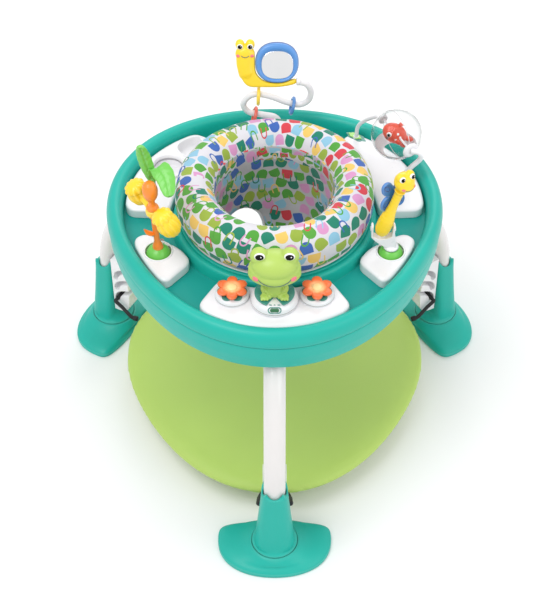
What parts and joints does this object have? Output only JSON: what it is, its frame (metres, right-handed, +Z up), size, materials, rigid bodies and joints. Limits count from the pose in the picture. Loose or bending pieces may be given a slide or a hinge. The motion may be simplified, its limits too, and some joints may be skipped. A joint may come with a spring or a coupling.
{
  "type": "activity jumper",
  "caption": "Baby activity jumper: a rounded toy tray on three bowed legs with a turning padded seat in its middle and a sprung bounce mat below.",
  "frame": {"origin": "the middle of the footprint, on the floor", "axes": "+Z up, -Y towards the front leg and its frog console, +X to the right of someone who looks along +Y"},
  "size_m": [0.828, 0.7468, 0.7294],
  "materials": {
    "shell_teal": "satin",
    "dark_teal": "satin",
    "white_plastic": "satin",
    "tube_white": "gloss",
    "cord": "woven cover",
    "mat_fabric": "coated fabric",
    "seat_fabric": "printed fabric",
    "frog_lime": "satin",
    "orange": "satin",
    "carrot": "satin",
    "leaf_green": "satin",
    "yellow": "satin",
    "blue": "satin",
    "red": "satin",
    "clear": "clear",
    "mirror": "polished",
    "steel": "plated",
    "board": "matte",
    "black": "matte"
  },
  "bodies": {
    "frame": {"tray_top": "shell_teal", "tray_base": "shell_teal", "battery_door": "shell_teal", "circuit_board": "board", "speaker": "black", "foot_front": "shell_teal", "foot_right": "shell_teal", "foot_left": "shell_teal", "pedestal_front": "shell_teal", "pedestal_right": "shell_teal", "pedestal_left": "shell_teal", "hook_block_front": "white_plastic", "hook_block_right": "white_plastic", "hook_block_left": "white_plastic", "leg_tube_front": "tube_white", "leg_tube_right": "tube_white", "leg_tube_left": "tube_white", "leg_bolt_front": "steel", "leg_bolt_right": "steel", "leg_bolt_left": "steel", "bungee_front": "cord", "bungee_right": "cord", "bungee_left": "cord", "console_base": "white_plastic", "lily_pads": "dark_teal", "frog_body": "frog_lime", "frog_spring": "steel", "stalk_base": "white_plastic", "dragonfly_base": "white_plastic", "globe_base": "white_plastic", "globe_arm_right": "white_plastic", "globe_arm_left": "white_plastic", "globe_leaf": "dark_teal", "snack_tray": "white_plastic", "loop_base": "white_plastic", "loop_tube": "tube_white"},
    "seat": {"seat_ring": "white_plastic", "seat_donut": "seat_fabric", "seat_sling": "seat_fabric"},
    "mat": {"bounce_mat": "mat_fabric"},
    "flower_left": {"flower_button_left": "orange"},
    "flower_right": {"flower_button_right": "orange"},
    "switch": {"mode_switch": "leaf_green"},
    "frog": {"frog_head": "frog_lime"},
    "stalk_toy": {"stalk_dome": "leaf_green", "stalk": "carrot", "stalk_leaves": "leaf_green"},
    "spinner": {"stalk_spinner": "yellow"},
    "dragonfly_stand": {"dragonfly_dome": "leaf_green", "dragonfly_clip": "white_plastic"},
    "dragonfly": {"dragonfly_body": "yellow", "dragonfly_wings": "blue"},
    "globe_ball": {"globe": "clear", "globe_fish": "red"},
    "red_ring": {"ring_red": "red"},
    "yellow_ring": {"ring_yellow": "yellow"},
    "blue_ring": {"ring_blue": "blue"},
    "snail": {"snail_body": "yellow", "snail_shell": "blue", "snail_mirror": "mirror"}
  },
  "joints": [
    {"name": "seat_spin", "type": "hinge", "parent": "frame", "child": "seat", "pos_m": [0, 0.08158, 0.49], "axis": [0, 0, 1], "continuous": true},
    {"name": "mat_bounce", "type": "slide", "parent": "frame", "child": "mat", "axis": [0, 0, 1], "range_m": [-0.035, 0.012], "stiffness_N_per_m": 1500, "deforming": ["bungee_front", "bungee_right", "bungee_left"]},
    {"name": "flower_left_press", "type": "slide", "parent": "frame", "child": "flower_left", "axis": [0, 0, 1], "range_m": [-0.003, 0], "stiffness_N_per_m": 800, "springref_m": 0.0006},
    {"name": "flower_right_press", "type": "slide", "parent": "frame", "child": "flower_right", "axis": [0, 0, 1], "range_m": [-0.003, 0], "stiffness_N_per_m": 800, "springref_m": 0.0006},
    {"name": "mode_slide", "type": "slide", "parent": "frame", "child": "switch", "axis": [1, 0, 0], "range_m": [-0.003, 0.003]},
    {"name": "frog_bob", "type": "hinge", "parent": "frame", "child": "frog", "pos_m": [0, -0.13682, 0.5345], "axis": [1, 0, 0], "range_deg": [-8, 8], "stiffness_Nm_per_rad": 1.2},
    {"name": "stalk_tilt", "type": "hinge", "parent": "frame", "child": "stalk_toy", "pos_m": [-0.2049, -0.01692, 0.4775], "axis": [-0.9013, -0.4333, 0], "range_deg": [-8, 8], "stiffness_Nm_per_rad": 2.5},
    {"name": "stalk_spin", "type": "hinge", "parent": "stalk_toy", "child": "spinner", "pos_m": [-0.20891, -0.01885, 0.58513], "axis": [-0.0472, -0.0227, 0.9986], "continuous": true},
    {"name": "dragonfly_turn", "type": "hinge", "parent": "frame", "child": "dragonfly_stand", "pos_m": [0.2044, -0.01692, 0.4775], "axis": [0, 0, 1], "range_deg": [-60, 60]},
    {"name": "dragonfly_nod", "type": "hinge", "parent": "dragonfly_stand", "child": "dragonfly", "pos_m": [0.187, -0.01692, 0.54], "axis": [1, 0, 0], "range_deg": [-20, 20]},
    {"name": "globe_spin", "type": "hinge", "parent": "frame", "child": "globe_ball", "pos_m": [0.2213, 0.19658, 0.575], "axis": [0.4592, -0.8884, 0], "continuous": true},
    {"name": "red_ring_swing", "type": "hinge", "parent": "frame", "child": "red_ring", "pos_m": [-0.0368, 0.31658, 0.5257], "axis": [-0.9701, 0, 0.2425], "range_deg": [-60, 60]},
    {"name": "yellow_ring_swing", "type": "hinge", "parent": "frame", "child": "yellow_ring", "pos_m": [-0.03, 0.31658, 0.5725], "axis": [0.9984, 0, -0.057], "range_deg": [-50, 50]},
    {"name": "blue_ring_swing", "type": "hinge", "parent": "frame", "child": "blue_ring", "pos_m": [0.0345, 0.31658, 0.5491], "axis": [0.9701, 0, -0.2425], "range_deg": [-60, 60]},
    {"name": "snail_swivel", "type": "hinge", "parent": "frame", "child": "snail", "pos_m": [0.044, 0.31658, 0.6015], "axis": [1, 0, 0], "range_deg": [-20, 20]}
  ]
}
